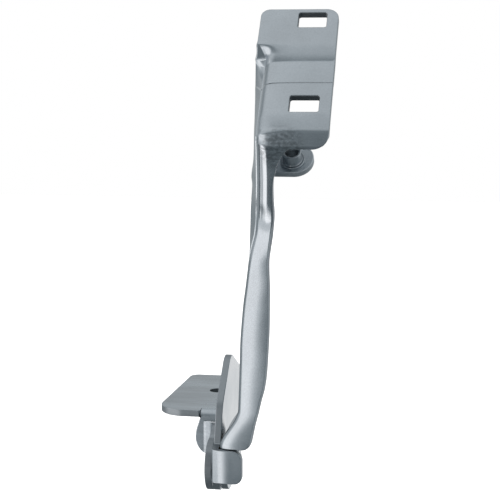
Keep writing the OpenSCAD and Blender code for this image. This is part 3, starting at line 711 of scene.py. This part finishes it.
def build_weld():
    """Fillet weld: a quarter bead between the flange and the stop plate, its radius rippled along its length."""
    y = np.linspace(LEG_BACK + 8.2, LEG_BACK + 25.8, 90)
    g = np.linspace(0, np.pi / 2, 16)
    ends = np.clip(np.minimum(y - y[0], y[-1] - y) / 2.2, 0, 1)
    r = (2.35 + 0.12 * np.cos((y - y[0]) * 2 * np.pi / 1.7)) * np.sqrt(np.maximum(1 - (1 - ends) ** 2, 0.02))
    bow = 1 - 0.16 * np.sin(2 * g)
    a = np.stack([-r[:, None] * np.cos(g)[None] * bow, np.repeat(y[:, None], len(g), 1),
                  FLANGE_TOP + r[:, None] * np.sin(g)[None] * bow], -1)
    core = np.stack([np.full(len(y), 0.02), y, np.full(len(y), FLANGE_TOP - 0.02)], -1)[:, None]
    co = np.concatenate([a, core], 1)
    n = len(g) + 1
    faces = grid_faces(len(y), n, wrap=True)
    caps = [list(range(n)), list(range((len(y) - 1) * n, len(y) * n))[::-1]]
    return put("weld_bead", co.reshape(-1, 3), [list(f)[::-1] for f in faces] + caps)


# ---------------------------------------------------------------- materials

def add_math(tree, kind, *values):
    """A math node of a kind on numbers or sockets; returns its output."""
    k = tree.nodes.new("ShaderNodeMath")
    k.operation = kind
    for i, v in enumerate(values):
        if isinstance(v, (int, float)):
            k.inputs[i].default_value = v
        else:
            tree.links.new(v, k.inputs[i])
    return k.outputs[0]


def add_span(tree, fac, lo, hi, a, b, curve="LINEAR"):
    """A map range node that takes fac from lo..hi to a..b; returns its output."""
    r = tree.nodes.new("ShaderNodeMapRange")
    r.interpolation_type = curve
    for key, v in (("From Min", lo), ("From Max", hi), ("To Min", a), ("To Max", b)):
        r.inputs[key].default_value = v
    tree.links.new(fac, r.inputs["Value"])
    return r.outputs[0]


def zinc(name, base, rough, speck=0.10, streak=0.0, shade_blotch_at=None):
    """Zinc plating on sheet steel: a satin metal whose grey and gloss vary in fine specks and broad clouds.
    streak is how strongly rolling lines show. The last argument is a point in mm from the pivot round which the grey
    is darkened in patches: painted shade over the crumpled drawn metal under the nose."""
    m = bpy.data.materials.new(name)
    m.use_nodes = True
    t = m.node_tree
    t.nodes.clear()
    out = t.nodes.new("ShaderNodeOutputMaterial")
    p = t.nodes.new("ShaderNodeBsdfPrincipled")
    t.links.new(p.outputs[0], out.inputs[0])
    p.inputs["Metallic"].default_value = 1.0
    tc = t.nodes.new("ShaderNodeTexCoord")

    def noise(scale, detail, squash=(1, 1, 1)):
        mp = t.nodes.new("ShaderNodeMapping")
        mp.inputs["Scale"].default_value = squash
        t.links.new(tc.outputs["Object"], mp.inputs["Vector"])
        n = t.nodes.new("ShaderNodeTexNoise")
        n.inputs["Scale"].default_value = scale
        n.inputs["Detail"].default_value = detail
        t.links.new(mp.outputs[0], n.inputs["Vector"])
        return n.outputs["Fac"]

    fine, cloud = noise(1500, 3), noise(60, 4)
    edge = t.nodes.new("ShaderNodeAttribute")
    edge.attribute_name = "cut"
    edge = edge.outputs["Fac"]
    tones = [add_span(t, fine, 0.3, 0.7, 1 - speck, 1 + speck), add_span(t, cloud, 0.3, 0.7, 0.93, 1.07),
             add_span(t, edge, 0, 2, 1.0, 0.36)]
    if streak:
        for lines, depth in ((noise(700, 2, (0.06, 1, 1)), streak), (noise(95, 3, (0.22, 1, 1)), 3 * streak)):
            tones.append(add_span(t, lines, 0.3, 0.7, 1 - depth, 1 + depth))
    # Painted shade: the grey is darkened in noise patches, by up to 40 %, within 8 to 13.5 mm of the given point.
    if shade_blotch_at is not None:
        d = t.nodes.new("ShaderNodeVectorMath")
        d.operation = "DISTANCE"
        t.links.new(tc.outputs["Object"], d.inputs[0])
        d.inputs[1].default_value = tuple((PIVOT + np.array(shade_blotch_at)) * 0.001)
        close = add_span(t, d.outputs["Value"], 0.008, 0.0135, 1, 0)
        blotch = add_span(t, noise(620, 5, (0.7, 1, 1.2)), 0.62, 0.40, 0, 0.4)
        tones.append(add_math(t, "SUBTRACT", 1.0, add_math(t, "MULTIPLY", close, blotch)))
    tone = tones[0]
    for other in tones[1:]:
        tone = add_math(t, "MULTIPLY", tone, other)
    c = t.nodes.new("ShaderNodeCombineColor")
    for i in range(3):
        t.links.new(add_math(t, "MULTIPLY", tone, float(base[i])), c.inputs[i])
    t.links.new(c.outputs[0], p.inputs["Base Color"])
    t.links.new(add_math(t, "ADD", add_span(t, cloud, 0.3, 0.7, rough - 0.04, rough + 0.05),
                         add_span(t, edge, 0, 2, 0.0, 0.3)), p.inputs["Roughness"])
    b = t.nodes.new("ShaderNodeBump")
    b.inputs["Strength"].default_value = 0.03
    b.inputs["Distance"].default_value = 0.0002
    t.links.new(fine, b.inputs["Height"])
    t.links.new(b.outputs[0], p.inputs["Normal"])
    return m


def dress(ob, material, body, slot, *nodes):
    """Gives a piece its material and body, and hides the CAD nodes that it replaces. The slot is not used."""
    ob.data.materials.clear()
    ob.data.materials.append(material)
    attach(ob, body)
    if nodes:
        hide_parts(*nodes)


ZINC = (0.301, 0.340, 0.370)
sheet_zinc = zinc("zinc_sheet", ZINC, 0.21, speck=0.05)
# The arm's zinc carries painted shade in patches under the nose.
arm_zinc = zinc("zinc_arm", ZINC, 0.21, speck=0.05, shade_blotch_at=(36, -31, 157.5))
base_zinc = zinc("zinc_base", ZINC, 0.25, speck=0.05, streak=0.07)
# Painted light: the ear and its fillet get a lighter, rougher copy of the zinc, so that they read brighter than the
# room lights them.
ear_zinc_painted_light = zinc("zinc_ear_painted_light", (0.507, 0.559, 0.598), 0.48, speck=0.05)
turned_zinc = zinc("zinc_turned", (0.301, 0.331, 0.357), 0.24, speck=0.05)
nut_zinc = zinc("zinc_nut", (0.327, 0.361, 0.387), 0.30, speck=0.12)
weld_zinc = zinc("zinc_weld", (0.232, 0.258, 0.284), 0.40)
bronze = zinc("bronze", (0.387, 0.310, 0.189), 0.45)

dress(build_arm(), arm_zinc, "arm", "zinc_plate", "hinge_arm")
# The ear and its fillet carry the lighter copy of the zinc, which is painted light.
dress(build_ear(), ear_zinc_painted_light, "arm", "zinc_plate")
dress(build_ear_fillet(), ear_zinc_painted_light, "arm", "zinc_plate")
dress(build_base(), base_zinc, "base", "zinc_plate", "base_bracket")
dress(build_stop(), sheet_zinc, "base", "zinc_plate", "stop_plate")
dress(build_pin(), turned_zinc, "base", "zinc_pin", "pivot_pin")
dress(build_bush(), bronze, "arm", "bush_bronze", "pivot_bush")
dress(build_washer(), turned_zinc, "base", "zinc_pin", "thrust_washer")
dress(build_nut(), nut_zinc, "arm", "zinc_nut", "weld_nut")
dress(build_weld(), weld_zinc, "base", "zinc_weld", "plate_weld")


# ---------------------------------------------------------------- studio

# Darker and brighter zones of the room, laid over the white of the background for every ray but those of the
# camera and of transmission, in degrees from the front (left positive, 180 behind) and above the horizon:
# centre and half width round, centre and half height up, softness of the rim, level
ROOM = [(0, 181, -64, 40, 8, 0.29),
        (0, 181, -8, 13, 9, 0.51),
        (180, 70, 26, 16, 10, 0.63),
        (-95, 50, -12, 16, 9, 0.87),
        (0, 60, 42, 18, 6, 0.48),
        (-4, 19, -8, 46, 8, 0.4),
        (58, 40, -31, 22, 7, 1.45),
        (27, 8, -16, 8, 4, 2.21),
        (54, 33, 13, 24, 8, 2.03),
        (95, 45, 68, 22, 12, 1.22),
        (92, 30, -53, 12, 4, 2.55),
        (160, 20, -6, 12, 6, 0.47),
        (-170, 14, -13, 9, 5, 1.16)]
ROOM_BASE = 1.0                         # the white of the background
ROOM_TINT = (1.13, 1.04, 1.0)           # powers of the level for red, green and blue: dark zones are bluer


def area_light(name, at, aim, size, power):
    """A soft lamp that reflections don't show."""
    d = bpy.data.lights.new(name, "AREA")
    d.shape = "RECTANGLE"
    d.size, d.size_y = size
    d.energy = power
    o = bpy.data.objects.new(name, d)
    bpy.context.scene.collection.objects.link(o)
    o.location = at
    o.rotation_euler = (Vector(aim) - Vector(at)).to_track_quat("-Z", "Y").to_euler()
    o.visible_glossy = False


def room_level(t):
    """Level of the room in the direction of a ray. Each entry of ROOM is mixed over the ones before it by
    fall(distance round) * fall(distance up), with fall going from 1 to 0 over the softness at the rim."""
    where = t.nodes.new("ShaderNodeTexCoord")
    sep = t.nodes.new("ShaderNodeSeparateXYZ")
    t.links.new(where.outputs["Generated"], sep.inputs[0])
    x, y, z = sep.outputs
    up = add_math(t, "DEGREES", add_math(t, "ARCSINE", z))
    left = add_math(t, "MULTIPLY", x, -1.0)
    front = add_math(t, "DEGREES", add_math(t, "ARCTAN2", left, add_math(t, "MULTIPLY", y, -1.0)))
    behind = add_math(t, "DEGREES", add_math(t, "ARCTAN2", left, y))

    def fall(value, centre, half, rim):
        away = add_math(t, "ABSOLUTE", add_math(t, "SUBTRACT", value, float(centre)))
        return add_span(t, away, half + rim, half - rim, 0, 1, "SMOOTHSTEP")

    level = ROOM_BASE
    for az, half, el, tall, rim, value in ROOM:
        part = fall(up, el, tall, rim)
        if half < 180:
            round_ = fall(behind, 0, half, rim) if az == 180 else fall(front, az, half, rim)
            part = add_math(t, "MULTIPLY", round_, part)
        m = t.nodes.new("ShaderNodeMix")
        m.data_type = "FLOAT"
        t.links.new(part, m.inputs[0])
        if level is ROOM_BASE:
            m.inputs[2].default_value = level
        else:
            t.links.new(level, m.inputs[2])
        m.inputs[3].default_value = value
        level = m.outputs[0]
    return level


def light_room(sc):
    """The world: white at strength 1 for camera and transmission rays, the room for the others, and two lamps."""
    w = bpy.data.worlds.new("studio")
    sc.world = w
    w.use_nodes = True
    t = w.node_tree
    t.nodes.clear()
    out = t.nodes.new("ShaderNodeOutputWorld")
    lp = t.nodes.new("ShaderNodeLightPath")
    white = t.nodes.new("ShaderNodeBackground")
    white.inputs["Color"].default_value = (1, 1, 1, 1)
    white.inputs["Strength"].default_value = 1.0
    room = t.nodes.new("ShaderNodeBackground")
    level = room_level(t)
    tint = t.nodes.new("ShaderNodeCombineColor")
    for i, power in enumerate(ROOM_TINT):
        t.links.new(add_math(t, "POWER", level, power), tint.inputs[i])
    t.links.new(tint.outputs[0], room.inputs["Color"])
    mix = t.nodes.new("ShaderNodeMixShader")
    seen = add_math(t, "MAXIMUM", lp.outputs["Is Camera Ray"], lp.outputs["Is Transmission Ray"])
    t.links.new(seen, mix.inputs["Fac"])
    t.links.new(room.outputs[0], mix.inputs[1])
    t.links.new(white.outputs[0], mix.inputs[2])
    t.links.new(mix.outputs[0], out.inputs[0])
    area_light("key", (-0.50, -0.62, 0.62), (0.02, -0.04, 0.08), (0.30, 0.30), 0.6)
    area_light("top", (0.10, 0.05, 0.95), (0.02, -0.02, 0.08), (0.60, 0.50), 0.9)


PHOTO_WIDTH, FOCAL = 500.0, 1240.0      # width and focal length of the photograph in pixels
SENSOR = 36.0
CAMERA_AT = np.array([104.88, -586.01, 196.46])
CAMERA_TURN = 8.5                       # degrees round to the right and up, the same for both


def place_camera(sc):
    """The camera fitted to the photograph."""
    cam = bpy.data.cameras.new("camera")
    co = bpy.data.objects.new("camera", cam)
    sc.collection.objects.link(co)
    az = el = math.radians(CAMERA_TURN)
    back = Vector((math.sin(az) * math.cos(el), -math.cos(az) * math.cos(el), math.sin(el)))
    right = Vector((math.cos(az), math.sin(az), 0))
    rot = Matrix((right, back.cross(right), back)).transposed()
    co.matrix_world = Matrix.Translation(Vector(((PIVOT + CAMERA_AT) * 0.001).tolist())) @ rot.to_4x4()
    cam.sensor_width = SENSOR
    cam.sensor_fit = "HORIZONTAL"
    cam.lens = FOCAL / PHOTO_WIDTH * SENSOR
    cam.clip_start, cam.clip_end = 0.01, 50
    sc.camera = co


def lay_floor(sc):
    """A pale floor under the hinge, lifted for camera rays only and hidden from reflections."""
    m = bpy.data.materials.new("floor_pale")
    m.use_nodes = True
    t = m.node_tree
    bs = t.nodes["Principled BSDF"]
    bs.inputs["Base Color"].default_value = (0.80, 0.80, 0.80, 1)
    bs.inputs["Roughness"].default_value = 0.9
    lit = t.nodes.new("ShaderNodeEmission")
    lit.inputs["Strength"].default_value = 0.72
    both = t.nodes.new("ShaderNodeAddShader")
    ray = t.nodes.new("ShaderNodeLightPath")
    pick = t.nodes.new("ShaderNodeMixShader")
    t.links.new(bs.outputs[0], both.inputs[0])
    t.links.new(lit.outputs[0], both.inputs[1])
    t.links.new(ray.outputs["Is Camera Ray"], pick.inputs["Fac"])
    t.links.new(bs.outputs[0], pick.inputs[1])
    t.links.new(both.outputs[0], pick.inputs[2])
    t.links.new(pick.outputs[0], t.nodes["Material Output"].inputs[0])
    half, z = 3, -0.22
    me = bpy.data.meshes.new("floor")
    me.from_pydata([(-half, -half, z), (half, -half, z), (half, half, z), (-half, half, z)], [], [(0, 1, 2, 3)])
    me.materials.append(m)
    ob = bpy.data.objects.new("floor", me)
    sc.collection.objects.link(ob)
    ob.visible_glossy = False


scene = bpy.context.scene
scene.view_settings.view_transform = "Standard"
light_room(scene)
place_camera(scene)
lay_floor(scene)
